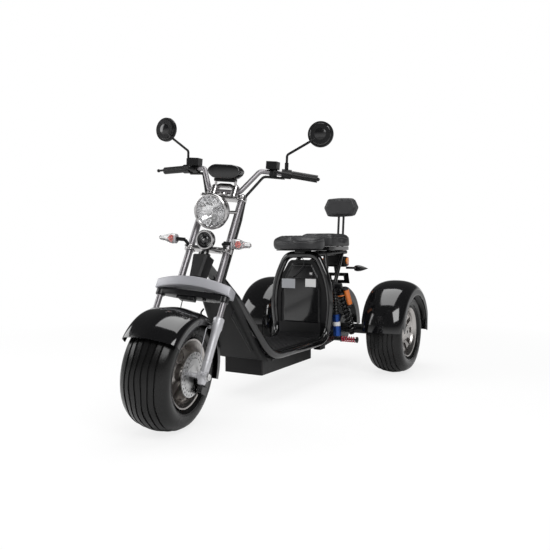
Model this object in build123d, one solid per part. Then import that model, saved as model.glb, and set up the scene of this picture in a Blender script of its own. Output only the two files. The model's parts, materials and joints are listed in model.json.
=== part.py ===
from build123d import *
from math import cos, radians, sin
import os

os.makedirs("parts", exist_ok=True)

# Electric tricycle. +Z is up, the front faces -Y and the vehicle's left side faces +X.
# The front end is modelled pointing straight ahead and turned about the steering axis last.

# ---- driving dimensions -------------------------------------------------------------------
wheelbase = 1530.0
half_track = 406.0
rake = 27.5               # steering axis, degrees back from vertical
steer_at_rest = 10.8      # the front end stands turned to the left

tyre_radius = 229.5
tyre_width = 204.0
flange_radius = 139.0
rim_width = 172.0
hub_radius = 34.0
axle_radius = 9.0
running_gap = 0.05        # radial clearance of the wheels and of the steering stem

leg_x = 147.0
leg_radius = 18.5
stanchion_radius = 12.5
upper_tube_x = 87.0
upper_tube_back = 22.0    # the upper tubes stand behind the steering axis
upper_tube_radius = 14.0
stem_radius = 15.0
crown_height = 355.0      # heights up to bar_height are measured along the steering axis
middle_clamp_height = 547.0
upper_clamp_height = 802.0
bar_height = 832.0
bar_radius = 11.0

disc_radius = 90.0
disc_x = 100.0

frame_tube_radius = 17.0
rail_radius = 11.0
side_tube_x = 140.0
floor_height = 205.0
box_half_width = 104.0
box_front = 540.0
box_length = 520.0
box_bottom = 120.0
arch_y = 1150.0           # upright hoop in front of the seat box
arch_top = 672.0

saddle_front = 1015.0
saddle_length = 285.0
saddle_half_width = 150.0
saddle_bottom = 700.0
saddle_top = 776.0
rear_seat_length = 285.0
rear_seat_half_width = 126.0
rear_seat_top = 791.0
pad_back = 1690.0
pad_centre = 957.0
post_radius = 7.0
soft_gap = 0.3            # seats lie this far off their pans

fender_sheet = 3.0
front_fender_radius = 254.0
rear_fender_radius = 292.0
rear_fender_half_width = 122.0
rear_fender_setback = 25.0

# ---- frames of reference and helpers ------------------------------------------------------
front_axle = Vector(0, 0, tyre_radius)
steer_dir = Vector(0, sin(radians(rake)), cos(radians(rake)))
steer_axis = Axis(front_axle, steer_dir)
fork = Plane(origin=front_axle, x_dir=(1, 0, 0), z_dir=steer_dir).location
upright = (Align.CENTER, Align.CENTER, Align.MIN)


def on_fork(x, back, up):
    """Place a shape by its distance beside, behind and along the steering axis."""
    return fork * Pos(x, back, up)


def both_sides(shape):
    return Compound(children=[shape, mirror(shape, about=Plane.YZ)])


def bent_tube(points, radius, bend):
    """Round tube or bar whose centre line turns every corner with one bend radius."""
    path = FilletPolyline(*points, radius=bend)
    start = Plane(origin=path @ 0, z_dir=path % 0)
    return sweep(start * Circle(radius), path=path)


def rod(start, end, radius):
    start, end = Vector(*start), Vector(*end)
    plane = Plane(origin=start, z_dir=end - start)
    return plane.location * Cylinder(radius, (end - start).length, align=upright)


def across(radius, length, bore=0.0):
    """Cylinder or ring along X, centred."""
    body = Rot(0, 90, 0) * Cylinder(radius, length)
    if bore:
        body -= Rot(0, 90, 0) * Cylinder(bore, length + 2)
    return body


def side_plate(outline, width):
    """Solid of one side outline (y, z), extruded across the vehicle and centred on it."""
    face = make_face(Polyline(*[(0, y, z) for y, z in outline], close=True))
    return extrude(face, amount=width / 2, dir=(1, 0, 0), both=True)


def coil(start, end, radius, wire, turns):
    """Compression spring between two points."""
    start, end = Vector(*start), Vector(*end)
    length = (end - start).length
    path = Helix(length / turns, length, radius)
    profile = Plane(origin=path @ 0, z_dir=path % 0) * Circle(wire)
    return Plane(origin=start, z_dir=end - start).location * sweep(profile, path=path, is_frenet=True)


# ---- wheels -------------------------------------------------------------------------------
def tyre():
    """Low-profile tyre: rounded tread, bulged walls and beads that sit on the rim."""
    half = tyre_width / 2
    bead = flange_radius - 9
    seat_x = rim_width / 2 - 7.5
    outer = Spline(
        (seat_x, flange_radius + 1),
        (half - 2, bead + 34),
        (half - 8, tyre_radius - 36),
        (half - 36, tyre_radius - 8),
        (0, tyre_radius),
        tangents=((1, 0.8), (-1, 0)),
    )
    inner = Spline(
        (0, tyre_radius - 14),
        (half - 40, tyre_radius - 22),
        (half - 18, tyre_radius - 46),
        (half - 14, bead + 34),
        (seat_x - 12, bead + 8),
        tangents=((1, 0), (-1, -0.8)),
    )
    foot = Polyline(inner @ 1, (seat_x - 12, bead), (seat_x, bead), outer @ 0)
    edges = [outer, Line(outer @ 1, inner @ 0), inner, foot]
    wall = revolve(make_face(edges), Axis.X, 360)
    return wall + mirror(wall, about=Plane.YZ)


def rim(dish, windows):
    """Deep one-piece rim; `dish` is how far its face stands inside the outer flange."""
    half = rim_width / 2
    bead = flange_radius - 9
    barrel_half = [
        (half, flange_radius),
        (half - 2, flange_radius - 6),
        (half - 14, bead - 8),
        (half - 38, bead - 18),
    ]
    barrel_seat = [
        (half - 40, bead - 13),
        (half - 18, bead),
        (half - 7, bead),
        (half - 5, flange_radius),
    ]
    outline = barrel_half + [(-x, r) for x, r in reversed(barrel_half)]
    outline += [(-x, r) for x, r in reversed(barrel_seat)] + barrel_seat
    barrel = make_face(Polyline(*outline, close=True))
    face_x = half - dish
    bore = axle_radius + running_gap
    plate = make_face(
        Polyline(
            (face_x, bead - 15),
            (face_x + 6, 96),
            (face_x - 6, 60),
            (face_x + 14, hub_radius),
            (face_x + 14, bore),
            (-half + 20, bore),
            (-half + 20, hub_radius - 6),
            (face_x - 8, hub_radius),
            (face_x - 13, 60),
            (face_x - 2, 96),
            (face_x - 8, bead - 15),
            close=True,
        )
    )
    body = revolve(barrel, Axis.X, 360) + revolve(plate, Axis.X, 360)
    window = Pos(face_x, 0, 82) * Rot(0, 90, 0) * extrude(RectangleRounded(38, 32, 9), 40, both=True)
    for i in range(windows):
        body -= Rot(360 / windows * i, 0, 0) * window
    return body


def brake_disc(hub_face):
    """Drilled disc on a short carrier that is bolted to the hub of the front wheel."""
    disc = across(disc_radius, 4, hub_radius + 4)
    hole = across(3.6, 8)
    for i in range(24):
        disc -= Rot(15 * i, 0, 0) * Pos(0, 0, disc_radius - 9) * hole
        disc -= Rot(15 * i + 7.5, 0, 0) * Pos(0, 0, disc_radius - 24) * hole
    bore = axle_radius + running_gap
    carrier = across(hub_radius + 6, 6, bore)
    neck_length = disc_x - hub_face
    neck = Pos(-neck_length / 2, 0, 0) * across(20, neck_length, bore)
    return Pos(disc_x, 0, 0) * (disc + carrier + neck)


def fender(radius, half_width, flank, start, end):
    """Rounded mudguard turned about its wheel: crown, shoulders and flanks of one sheet."""
    outer = Spline(
        (-half_width, flank),
        (-half_width + 8, (radius + flank) / 2 + 6),
        (-half_width * 0.6, radius - 10),
        (0, radius),
        (half_width * 0.6, radius - 10),
        (half_width - 8, (radius + flank) / 2 + 6),
        (half_width, flank),
    )
    t = fender_sheet
    inner = Spline(
        (half_width - t, flank),
        (half_width - 8 - t, (radius + flank) / 2 + 5),
        (half_width * 0.6 - t / 2, radius - 10 - t),
        (0, radius - t),
        (-half_width * 0.6 + t / 2, radius - 10 - t),
        (-half_width + 8 + t, (radius + flank) / 2 + 5),
        (-half_width + t, flank),
    )
    edges = [outer, Line(outer @ 1, inner @ 0), inner, Line(inner @ 1, outer @ 0)]
    return Rot(start, 0, 0) * revolve(make_face(edges), Axis.X, end - start)


# ---- front end ----------------------------------------------------------------------------
def fork_legs():
    """Cast lower legs with a thick collar on top and an axle bore below."""
    leg = Pos(0, 0, -30) * Cylinder(leg_radius, 230, align=upright)
    leg += Pos(0, 0, 194) * Cylinder(leg_radius + 4.5, 50, align=upright)
    leg = fillet(leg.edges().filter_by(GeomType.CIRCLE).sort_by(Axis.Z)[-1], 4)
    leg -= Pos(0, 0, 150) * Cylinder(stanchion_radius, 120, align=upright)
    leg -= across(axle_radius, 80)
    return both_sides(on_fork(leg_x, 0, 0) * leg)


def stanchions():
    length = crown_height + 5 - 150
    return both_sides(on_fork(leg_x, 0, 150) * Cylinder(stanchion_radius, length, align=upright))


def lower_crown():
    """Silver arched cover across both legs."""
    reach = leg_x + 24
    rise, height, depth = 17, 44, 62
    low = ThreePointArc((-reach, 0, -height / 2), (0, 0, rise - height / 2), (reach, 0, -height / 2))
    top = ThreePointArc((reach - 8, 0, height / 2), (0, 0, rise + height / 2), (8 - reach, 0, height / 2))
    edges = [low, Line(low @ 1, top @ 0), top, Line(top @ 1, low @ 0)]
    body = extrude(make_face(edges), amount=depth / 2, dir=(0, 1, 0), both=True)
    body = on_fork(0, 6, crown_height) * body
    return body - stanchions() - fork_upper_tubes() - steering_stem()


def steering_stem():
    length = middle_clamp_height - crown_height - 9
    return on_fork(0, 0, crown_height) * Cylinder(stem_radius, length, align=upright)


def yoke():
    """Clamp plate of the two upper tubes."""
    boss = Pos(upper_tube_x, 0, 0) * Cylinder(upper_tube_radius + 7, 22)
    plate = Box(2 * upper_tube_x, 34, 18) + both_sides(boss)
    return plate - both_sides(Pos(upper_tube_x, 0, 0) * Cylinder(upper_tube_radius, 30))


def fork_clamps():
    """Middle and upper yokes; the upper one carries the bar risers."""
    middle = on_fork(0, upper_tube_back, middle_clamp_height) * yoke()
    upper = on_fork(0, upper_tube_back, upper_clamp_height) * yoke()
    rise = bar_height - upper_clamp_height + 25
    riser = on_fork(50, 10, upper_clamp_height) * Cylinder(16, rise, align=upright)
    risers = both_sides(riser) - handlebar()
    return Compound(children=[middle, upper + risers])


def fork_upper_tubes():
    length = upper_clamp_height + 11 - crown_height
    tube = on_fork(upper_tube_x, upper_tube_back, crown_height) * Cylinder(upper_tube_radius, length, align=upright)
    return both_sides(tube)


def front_axle_rod():
    return Pos(front_axle) * across(axle_radius, 2 * (leg_x + leg_radius + 6))


def caliper():
    """Brake caliper behind the left leg, open around the disc."""
    body = Box(46, 52, 62)
    body = fillet(body.edges().filter_by(Axis.X), 10)
    body = on_fork(disc_x + 6, disc_radius - 4, -24) * body
    body += on_fork(leg_x - 12, 40, -10) * Box(10, 80, 30)
    body -= Pos(front_axle) * Pos(disc_x, 0, 0) * across(disc_radius + 5, 14)
    return body - fork_legs() - front_axle_rod()


def front_fender():
    shell = fender(front_fender_radius, tyre_width / 2 + 15, front_fender_radius - 58, -16, 141)
    plan = Pos(0, 20, 0) * RectangleRounded(tyre_width + 31, 520, 70)
    shell = shell & extrude(plan, 600, both=True)
    stay = rod((tyre_width / 2 + 12, 70, 205), (leg_x, 94, 179), 5)
    return Pos(front_axle) * (shell + both_sides(stay)) - fork_legs() - stanchions()


def headlight():
    """Round bucket with its bezel ring; the lens is a separate shallow dome."""
    shell = Spline((0, 92), (38, 84), (66, 52), (74, 12), tangents=((1, 0), (0, -1)))
    inner = Spline((70, 12), (62, 50), (36, 80), (0, 88), tangents=((0, 1), (-1, 0)))
    edges = [shell, Line(shell @ 1, inner @ 0), inner, Line(inner @ 1, shell @ 0)]
    bucket = revolve(make_face(edges), Axis.Y, 360)
    ring = Rot(90, 0, 0) * (Cylinder(77, 16) - Cylinder(68, 20))
    bucket += Pos(0, 8, 0) * ring
    dome = Pos(0, 186, 0) * (Sphere(196) - Sphere(193))
    glass = dome & Pos(0, 0, 0) * Rot(90, 0, 0) * Cylinder(67.5, 40)
    place = Pos(0, 268, 870) * Rot(10, 0, 0)
    ear = rod((68, 300, 872), (upper_tube_x, 350, 875), 7)
    return place * bucket + both_sides(ear) - fork_upper_tubes(), place * glass


def horn():
    """Round horn with a raised rim, hung in front of the middle yoke."""
    body = Rot(90, 0, 0) * (Cylinder(40, 22) - Pos(0, 0, 8) * Cylinder(34, 10))
    body += Rot(90, 0, 0) * Pos(0, 0, 2) * Cylinder(14, 16)
    strap = rod((0, 250, 745), (0, 264, 716), 6)
    return Pos(0, 240, 749) * body + strap - fork_clamps() - steering_stem()


def indicator_pair():
    """Front indicators: black stalks from the middle yoke and clear teardrop lenses."""
    stalk = rod((92, 226, 742), (134, 226, 742), 8)
    stalk += rod((88, 226, 738), (88, 262, 716), 7)
    lens = Spline((0, 20), (24, 22), (60, 12), (81, 0), tangents=((1, 0.2), (0, -1)))
    face = make_face([lens, Line((81, 0), (0, 0)), Line((0, 0), (0, 20))])
    drop = Pos(134, 226, 742) * revolve(face, Axis.X, 360)
    return both_sides(stalk - fork_clamps() - fork_upper_tubes()), both_sides(drop)


grip_in = Vector(269, 511, 1062)
grip_out = Vector(384, 528, 1050)


def handlebar():
    points = [(0, 392, 962), (72, 392, 962), (138, 458, 1066), tuple(grip_in), tuple(grip_out)]
    half = bent_tube(points, bar_radius, 26)
    return half + mirror(half, about=Plane.YZ)


def grips():
    grip = rod(grip_in, grip_out, 16.5)
    return both_sides(grip) - handlebar()


def on_bar(distance):
    """A frame on the straight grip section of the left bar end, Z outwards."""
    out = (grip_out - grip_in).normalized()
    return Plane(origin=grip_in + out * distance, x_dir=(0, 0, 1), z_dir=out).location


def controls():
    """Switch pods, fluid reservoirs and brake levers beside each grip."""
    inner = (Vector(138, 458, 1066), grip_in)
    along = (inner[1] - inner[0]).normalized()
    pod = rod(grip_in - along * 46, grip_in - along * 2, 21)
    clamp = rod(grip_in - along * 100, grip_in - along * 66, 18)
    tank_at = grip_in - along * 83
    tank = Pos(tank_at.X, tank_at.Y - 12, tank_at.Z + 30) * Box(50, 44, 34)
    pivot = tank_at + Vector(20, -34, 0)
    arm = rod(tuple(tank_at), tuple(pivot), 9)
    lever = rod(tuple(pivot), (398, 492, 1046), 5) + Pos(398, 492, 1046) * Sphere(8)
    side = pod + clamp + tank + arm + lever
    return both_sides(side - handlebar() - grips())


def mirrors():
    """Round mirrors on bent arms that stand on the control clamps."""
    root = (246, 502, 1062)
    arm = bent_tube([root, (246, 492, 1146), (345, 496, 1208), (383, 512, 1240)], 5.5, 14)
    arm += rod(root, (246, 496, 1112), 8.5)
    dish = Cylinder(56, 12) + Pos(0, 0, 6) * Cylinder(44, 8, align=upright)
    glass = Cylinder(50, 3)
    place = Pos(385, 516, 1245) * Rot(0, 0, 7.5) * Rot(90, 0, 0)
    shell = place * (dish - Pos(0, 0, -4.5) * Cylinder(50, 3))
    arm_only = arm - handlebar() - controls()
    return both_sides(arm_only + shell), both_sides(place * Pos(0, 0, -4.5) * glass)


def display_pod():
    """Six-sided instrument pod on a plate above the risers."""
    face = Plane.XZ * make_face(Polyline((-82, 2), (-62, 26), (62, 26), (82, 2), (58, -26), (-58, -26), close=True))
    pod = extrude(face, 32, both=True)
    pod = fillet(pod.edges().group_by(Axis.Y)[0], 6)
    foot = Pos(0, 398, 1019) * Box(110, 40, 14)
    posts = both_sides(rod((50, 398, 985), (50, 398, 1016), 6))
    return Pos(0, 392, 1052) * pod + foot + posts - fork_clamps() - handlebar()


# ---- chassis ------------------------------------------------------------------------------
def side_tube():
    """Left frame tube: down from the neck, along the floor and up into the seat hoop."""
    points = [
        (16, 318, 588),
        (62, 392, 485),
        (122, 505, 280),
        (side_tube_x, 590, floor_height),
        (side_tube_x, 1085, floor_height),
        (172, arch_y, 300),
        (168, arch_y, 460),
        (138, arch_y, 570),
        (88, arch_y, 650),
        (0, arch_y, arch_top),
    ]
    return bent_tube(points, frame_tube_radius, 45)


def head_tube():
    bottom = crown_height + 46
    length = middle_clamp_height - 16 - bottom
    body = Cylinder(26, length, align=upright)
    return on_fork(0, 0, bottom) * body


def main_frame():
    """Welded tube frame with the head tube, its neck and the floor cross tubes."""
    left = side_tube()
    neck = rod((0, 222, 656), (0, 350, 556), 24)
    frame = left + mirror(left, about=Plane.YZ) + head_tube() + neck
    for y in (600, 1070):
        frame += Pos(0, y, floor_height - 4) * across(12, 2 * side_tube_x)
    bore_length = middle_clamp_height - crown_height
    return frame - on_fork(0, 0, crown_height) * Cylinder(stem_radius + running_gap, bore_length, align=upright)


def head_cover():
    """Dark cover in front of the head tube, between the upper tubes."""
    outline = Polyline((-38, -52), (-46, 20), (-42, 48), (42, 48), (46, 20), (38, -52), close=True)
    face = Plane.XZ * make_face(outline)
    body = extrude(face, 14, both=True)
    return on_fork(0, -40, 472) * body - main_frame()


def leg_shield():
    """Fairing between the head and the floor: nose, side walls and lower lip."""
    top = Pos(0, 332, 512) * Rot(-15, 0, 0) * RectangleRounded(150, 84, 16)
    low = Pos(0, 548, 190) * Rot(-15, 0, 0) * RectangleRounded(236, 90, 20)
    outer = loft([top, low])
    top = Pos(0, 350, 517) * Rot(-15, 0, 0) * RectangleRounded(142, 84, 12)
    low = Pos(0, 562, 180) * Rot(-15, 0, 0) * RectangleRounded(228, 90, 16)
    return outer - loft([top, low]) - main_frame()


def floor_deck():
    """Pressed floor between the side tubes, turned up where it meets the seat box."""
    half = side_tube_x - frame_tube_radius + 4
    outline = [(570, 214), (1090, 214), (1126, 240), (1126, 300), (1120, 300), (1120, 243), (1086, 220), (570, 220)]
    return side_plate(outline, 2 * half) - main_frame()


def floor_mat():
    body = Pos(0, 845, 220) * Box(226, 450, 5, align=upright)
    return fillet(body.edges().filter_by(Axis.Z), 20)


def battery_box():
    body = Pos(0, box_front + box_length / 2, box_bottom)
    body = body * Box(2 * box_half_width, box_length, floor_height + 9 - box_bottom, align=upright)
    return fillet(body.edges().filter_by(Axis.Z), 8) - main_frame()


def hoop_face(inset, y):
    """Tombstone outline inside the seat hoop."""
    w = frame_tube_radius + inset
    points = [
        (-(158 - w), 232),
        (-(172 - w), 300),
        (-(168 - w), 460),
        (-(138 - w), 566 - inset),
        (-(92 - w), 642 - inset),
        (92 - w, 642 - inset),
        (138 - w, 566 - inset),
        (168 - w, 460),
        (172 - w, 300),
        (158 - w, 232),
    ]
    return make_face(Polyline(*[(x, y, z) for x, z in points], close=True))


def seat_box():
    """Upright box behind the hoop, with its door recess in front."""
    body = extrude(hoop_face(1, arch_y - 4), amount=84, dir=(0, 1, 0))
    recess = extrude(hoop_face(22, arch_y - 6), amount=8, dir=(0, 1, 0))
    return body - recess - main_frame() - floor_deck()


def seat_door():
    panel = extrude(hoop_face(24, arch_y - 5), amount=7, dir=(0, 1, 0))
    lock = Pos(52, arch_y - 5, 590) * Rot(90, 0, 0) * Cylinder(9, 6)
    return panel + lock


def saddle():
    """Front seat: a rounded block, narrower at the nose."""
    mid = saddle_front + saddle_length / 2
    outline = Pos(0, mid) * RectangleRounded(2 * saddle_half_width, saddle_length, 62)
    body = Pos(0, 0, saddle_bottom + soft_gap) * extrude(outline, saddle_top - saddle_bottom)
    return fillet(body.edges().group_by(Axis.Z)[-1], 22)


def rear_seat():
    start = saddle_front + saddle_length + 8
    outline = Pos(0, start + rear_seat_length / 2) * RectangleRounded(2 * rear_seat_half_width, rear_seat_length, 30)
    body = Pos(0, 0, 716 + soft_gap) * extrude(outline, rear_seat_top - 716)
    return fillet(body.edges().group_by(Axis.Z)[-1], 16)


def seat_pans():
    """Saddle plate and the hollow base of the rear seat."""
    plate = Pos(0, saddle_front + saddle_length / 2, saddle_bottom - 6)
    plate = plate * extrude(RectangleRounded(2 * saddle_half_width - 16, saddle_length - 16, 55), 6)
    start = saddle_front + saddle_length + 8
    base = Pos(0, start + rear_seat_length / 2, 692)
    base = base * extrude(RectangleRounded(2 * rear_seat_half_width - 6, rear_seat_length - 6, 28), 24)
    return plate, base


def rear_subframe():
    """Seat rails, stays down to the hoop and the cross tube that carries the shocks."""
    rail = rod((70, arch_y, 668), (92, 1580, 681), rail_radius)
    stay = rod((88, 1300, 675), (150, arch_y + 12, 520), rail_radius)
    rear_stay = rod((90, 1560, 680), (150, 1262, 498), rail_radius)
    low_stay = rod((150, 1262, 498), (160, arch_y, 480), rail_radius)
    side = rail + stay + rear_stay + low_stay
    cross = Pos(0, 1262, 498) * across(rail_radius, 2 * 190) + Pos(0, 1500, 679) * across(rail_radius, 176)
    cradle = Pos(0, 1165, 687) * Box(60, 90, 14)
    body = side + mirror(side, about=Plane.YZ) + cross + cradle
    return body - main_frame() - seat_box()


def backrest_posts():
    post = bent_tube([(16, 1575, 684), (16, pad_back - 20, 684), (16, pad_back, 900)], post_radius, 20)
    return both_sides(post) - rear_subframe()


def backrest_pad():
    """Elongated six-sided pad with a thinner back layer."""
    points = [(-113, 0), (-82, 56), (82, 56), (113, 0), (82, -56), (-82, -56)]
    face = Plane.XZ * make_face(Polyline(*points, close=True))
    front = Pos(0, pad_back - 10, pad_centre) * extrude(face, 22, both=True)
    front = fillet(front.edges().group_by(Axis.Y)[0], 10)
    back = Pos(0, pad_back + 27.3, pad_centre + 4) * extrude(scale(face, 0.94), 15, both=True)
    return front + back


def swing_arm():
    """Rear carrier: two arms from the floor frame to the axle housing."""
    arm = side_plate([(1110, 168), (1110, 200), (wheelbase - 20, 246), (wheelbase - 20, 212)], 34)
    arm = both_sides(Pos(118, 0, 0) * arm)
    cross = Pos(0, 1330, 196) * across(13, 240)
    pivot = Pos(0, 1128, 184) * across(11, 2 * side_tube_x)
    plate = both_sides(Pos(118, 0, 0) * side_plate([(1100, 160), (1100, 206), (1160, 206), (1160, 160)], 40))
    pin = rod((118, 1345, 190), (251, 1345, 190), 6) + Pos(154, 1345, 190) * across(17, 5)
    pin += Pos(250, 1345, 190) * across(17, 5)
    return arm + cross + pivot + plate + both_sides(pin) - main_frame()


def axle_motor():
    """Rear axle housing with its drive motor and the two wheel stubs."""
    drum = across(82, 190)
    housing = across(28, 2 * (half_track - 92))
    stubs = across(axle_radius, 2 * (half_track + 62))
    return Pos(0, wheelbase, tyre_radius) * (drum + housing + stubs) - swing_arm()


def shocks():
    """Coil-over pair on each side: bodies, coils, reservoirs and the lower dampers."""
    a_top, a_low = (168, 1262, 484), (172, 1262, 232)
    b_top, b_low = (196, 1300, 470), (200, 1388, 232)
    bodies = rod(a_top, a_low, 8) + rod(b_top, b_low, 9)
    bodies += Pos(168, 1262, 498) * across(20, 28) + rod((196, 1262, 498), (196, 1300, 470), 10)
    bodies += rod((172, 1262, 232), (118, 1262, 212), 9) + rod(b_low, (118, 1388, 226), 9)
    bodies += rod((168.2, 1262, 465), (168.4, 1262, 459), 25) + rod((170.9, 1262, 341), (171, 1262, 335), 25)
    bodies += rod((196.4, 1308.6, 453), (196.5, 1310, 449), 27) + rod((199.6, 1373.6, 271), (199.7, 1375.5, 266), 27)
    bodies = bodies - rear_subframe() - swing_arm()
    coils = coil((168.5, 1262, 455), (171, 1262, 345), 21, 4, 6) + coil((196.5, 1310, 445), (199.5, 1372, 275), 23, 4, 9)
    tank = rod((214, 1340, 470), (220, 1366, 398), 14) - bodies
    blue = rod((171, 1262, 335), (172, 1262, 236), 22)
    return bodies, coils, tank, blue


def side_coils():
    return coil((160, 1345, 190), (244, 1345, 190), 13, 3.5, 6)


def rear_fender():
    shell = fender(rear_fender_radius, rear_fender_half_width, rear_fender_radius - 82, -4, 176)
    plan = Pos(0, 0, 0) * RectangleRounded(2 * rear_fender_half_width + 2, 2 * rear_fender_radius + 2, 80)
    shell = shell & extrude(plan, 600, both=True)
    shell = Pos(half_track, wheelbase + rear_fender_setback, tyre_radius) * shell
    inner_x = half_track - rear_fender_half_width + 1.5
    stays = rod((inner_x, wheelbase, tyre_radius), (inner_x, wheelbase + 125, tyre_radius + 195), 7)
    stays += rod((inner_x, wheelbase, tyre_radius), (inner_x, wheelbase - 105, tyre_radius + 195), 7)
    return shell + stays - axle_motor()


def tail_lamp():
    """Tail lamp housing hung from the rear rails, with lens, reflectors and indicators."""
    body = Pos(0, 1612, 622) * Box(150, 50, 66)
    body = fillet(body.edges().filter_by(Axis.Y), 16)
    body += Pos(0, 1583.5, 655) * Box(200, 7, 74)
    lens = Pos(0, 1648, 622) * Box(138, 22, 56)
    lens = fillet(lens.edges().filter_by(Axis.Y), 14)
    reflector = both_sides(Pos(78, 1606, 628) * across(20, 8) - body)
    stalk = rod((60, 1622, 584), (118, 1636, 582), 7)
    cone = Spline((0, 15), (18, 19), (58, 11), (86, 0), tangents=((1, 0.3), (0, -1)))
    drop = revolve(make_face([cone, Line((86, 0), (0, 0)), Line((0, 0), (0, 15))]), Axis.X, 360)
    stalk += Pos(116, 1636, 582) * drop
    body = body - rear_subframe() - backrest_posts()
    return body, lens, reflector, both_sides(stalk) - body


def plate_bracket():
    """Number plate carrier with one long slot."""
    plate = Pos(0, 1640, 520) * Rot(20, 0, 0) * Box(200, 3, 90)
    slot = Pos(0, 1640, 520) * Rot(20, 0, 0) * Box(120, 10, 12)
    arm = both_sides(rod((60, 1608, 590), (60, 1634, 548), 6))
    return plate - slot + arm - tail_lamp()[0] - tail_lamp()[3]


# ---- assembly -----------------------------------------------------------------------------
hub_face = rim_width / 2 - 55 + 14
shell, glass = headlight()
stalks, drops = indicator_pair()
mirror_shells, mirror_glass = mirrors()
shock_bodies, shock_coils, shock_tanks, blue_bodies = shocks()
lamp, lamp_lens, reflectors, rear_indicators = tail_lamp()
saddle_plate, seat_base = seat_pans()
rear_wheel_at = Pos(half_track, wheelbase, tyre_radius)

front_nodes = {
    "fork_legs": fork_legs(),
    "stanchions": stanchions(),
    "lower_crown": lower_crown(),
    "steering_stem": steering_stem(),
    "fork_clamps": fork_clamps(),
    "fork_upper_tubes": fork_upper_tubes(),
    "front_axle": front_axle_rod(),
    "front_caliper": caliper(),
    "front_fender": front_fender(),
    "headlight_shell": shell,
    "headlight_lens": glass,
    "horn": horn(),
    "front_indicator_stalks": stalks,
    "front_indicator_lenses": drops,
    "handlebar": handlebar(),
    "grips": grips(),
    "controls": controls(),
    "mirrors": mirror_shells,
    "mirror_glass": mirror_glass,
    "display_pod": display_pod(),
    "front_tyre": Pos(front_axle) * tyre(),
    "front_rim": Pos(front_axle) * rim(55, 8),
    "brake_disc": Pos(front_axle) * brake_disc(hub_face),
}
chassis_nodes = {
    "main_frame": main_frame(),
    "head_cover": head_cover(),
    "leg_shield": leg_shield(),
    "floor_deck": floor_deck(),
    "floor_mat": floor_mat(),
    "battery_box": battery_box(),
    "seat_box": seat_box(),
    "seat_door": seat_door(),
    "rear_subframe": rear_subframe(),
    "saddle_plate": saddle_plate,
    "rear_seat_base": seat_base,
    "saddle": saddle(),
    "rear_seat": rear_seat(),
    "backrest_posts": backrest_posts(),
    "backrest_pad": backrest_pad() - backrest_posts(),
    "swing_arm": swing_arm(),
    "axle_motor": axle_motor(),
    "shock_bodies": both_sides(shock_bodies),
    "shock_coils": both_sides(shock_coils),
    "shock_reservoirs": both_sides(shock_tanks),
    "lower_dampers": both_sides(blue_bodies - shock_bodies),
    "side_coils": both_sides(side_coils()),
    "rear_fender_left": rear_fender(),
    "rear_fender_right": mirror(rear_fender(), about=Plane.YZ),
    "tail_lamp": lamp,
    "tail_lens": lamp_lens,
    "side_reflectors": reflectors,
    "rear_indicators": rear_indicators,
    "plate_bracket": plate_bracket(),
    "rear_left_tyre": rear_wheel_at * tyre(),
    "rear_left_rim": rear_wheel_at * rim(24, 8),
    "rear_right_tyre": mirror(rear_wheel_at * tyre(), about=Plane.YZ),
    "rear_right_rim": mirror(rear_wheel_at * rim(24, 8), about=Plane.YZ),
}
nodes = dict(chassis_nodes)
for name, piece in front_nodes.items():
    nodes[name] = piece.rotate(steer_axis, steer_at_rest)

# The origin is the middle of the bounding box, on the floor.
bounds = Compound(children=list(nodes.values())).bounding_box()
shift = Pos(0, -(bounds.min.Y + bounds.max.Y) / 2, -bounds.min.Z)
for name, piece in nodes.items():
    solids = [shift * solid for solid in piece.solids()]
    print(name, len(solids), [round(s.volume / 1000, 1) for s in solids])
    export_step(Compound(solids), "parts/" + name + ".step")
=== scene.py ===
from math import ceil, cos, hypot, pi, radians, sin, tan
import json

import bmesh
import bpy
from mathutils import Matrix, Vector
from mathutils.bvhtree import BVHTree


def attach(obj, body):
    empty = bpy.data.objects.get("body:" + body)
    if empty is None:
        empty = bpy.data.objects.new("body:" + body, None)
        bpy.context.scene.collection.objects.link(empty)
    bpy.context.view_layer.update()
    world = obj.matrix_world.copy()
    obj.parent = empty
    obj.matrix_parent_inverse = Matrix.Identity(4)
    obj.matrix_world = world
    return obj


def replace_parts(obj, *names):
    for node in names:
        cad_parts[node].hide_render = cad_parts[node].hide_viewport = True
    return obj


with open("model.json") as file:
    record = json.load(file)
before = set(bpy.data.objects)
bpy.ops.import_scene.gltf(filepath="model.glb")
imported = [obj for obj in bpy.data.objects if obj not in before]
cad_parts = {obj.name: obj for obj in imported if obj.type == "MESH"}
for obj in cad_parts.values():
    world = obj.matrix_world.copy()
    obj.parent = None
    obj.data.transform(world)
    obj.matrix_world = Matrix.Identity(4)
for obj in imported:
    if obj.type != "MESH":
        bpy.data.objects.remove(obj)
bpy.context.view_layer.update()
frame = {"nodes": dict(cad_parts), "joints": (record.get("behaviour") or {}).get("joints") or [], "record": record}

# Electric tricycle. +Z is up, the front faces -Y and the vehicle's left side faces +X.
# Shapes are drawn in millimetres and placed in metres.

record = frame["record"]
joints = {joint["name"]: joint for joint in frame["joints"]}
front_axle = Vector(joints["steering"]["pos_m"])
steer_axis = Vector(joints["steering"]["axis"]).normalized()
front_spin = Vector(joints["front_wheel_spin"]["axis"]).normalized()
fork_back = steer_axis.cross(front_spin)
rest_turn = front_spin.angle(Vector((1, 0, 0)))
rear_axles = {side: Vector(joints[f"rear_{side}_wheel_spin"]["pos_m"]) for side in ("left", "right")}
mm = 0.001
tyre_radius = 235.0
arch_y = 1150.0              # seat hoop, behind the front axle
rear_axle_y = 1530.0         # rear axle, behind the front axle
crown_height = 355.0         # heights of the front end are measured along the steering axis
middle_clamp_height = 547.0
upper_clamp_height = 802.0
bar_height = 832.0
upper_tube_x = 87.0
leg_x = 147.0
upper_tube_back = 22.0       # how far the upper tubes lie behind the steering axis
axle_height = 229.5          # the front axle above the ground, as heights are counted here
rake = 27.5                  # degrees the fork leans back


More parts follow.
